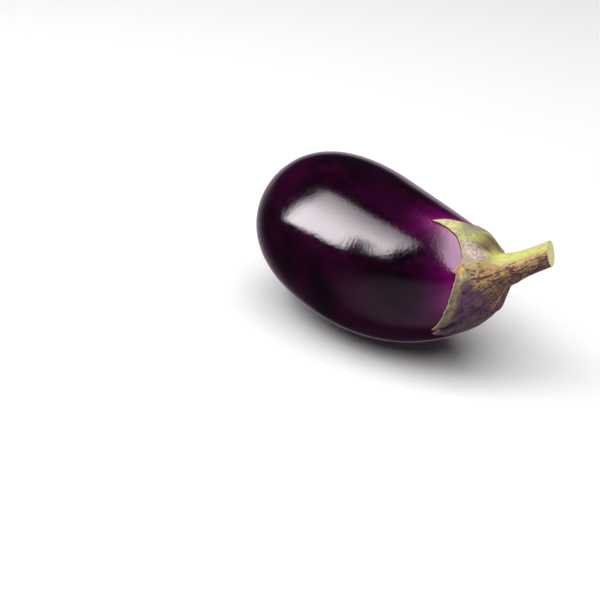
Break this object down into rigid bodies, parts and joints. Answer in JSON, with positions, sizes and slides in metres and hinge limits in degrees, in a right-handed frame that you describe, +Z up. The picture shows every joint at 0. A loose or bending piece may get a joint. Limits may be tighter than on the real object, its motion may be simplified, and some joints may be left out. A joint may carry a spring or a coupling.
{
  "type": "eggplant",
  "caption": "Whole dark purple eggplant: an egg-shaped fruit with a bent neck, a green lobed calyx and a short stem cut aslant, lying on a small flat spot.",
  "frame": {"origin": "on the floor plane, under the middle of the bounding box", "axes": "+Z up, +X from the blossom end towards the stem end, +Y to the side that the neck and the stem bend to"},
  "size_m": [0.1668, 0.083, 0.0834],
  "materials": {
    "fruit_skin": "glossy waxy skin, near-black purple with a violet glow towards the calyx",
    "calyx_skin": "dull leathery skin, yellow-green mottled with mauve and tan, bright thin rim",
    "stem_skin": "dull ribbed skin, yellow-green with tan sides and dark purple streaks, pale cut face"
  },
  "bodies": {
    "root": {"fruit": "fruit_skin", "calyx": "calyx_skin", "stem": "stem_skin"}
  },
  "joints": []
}
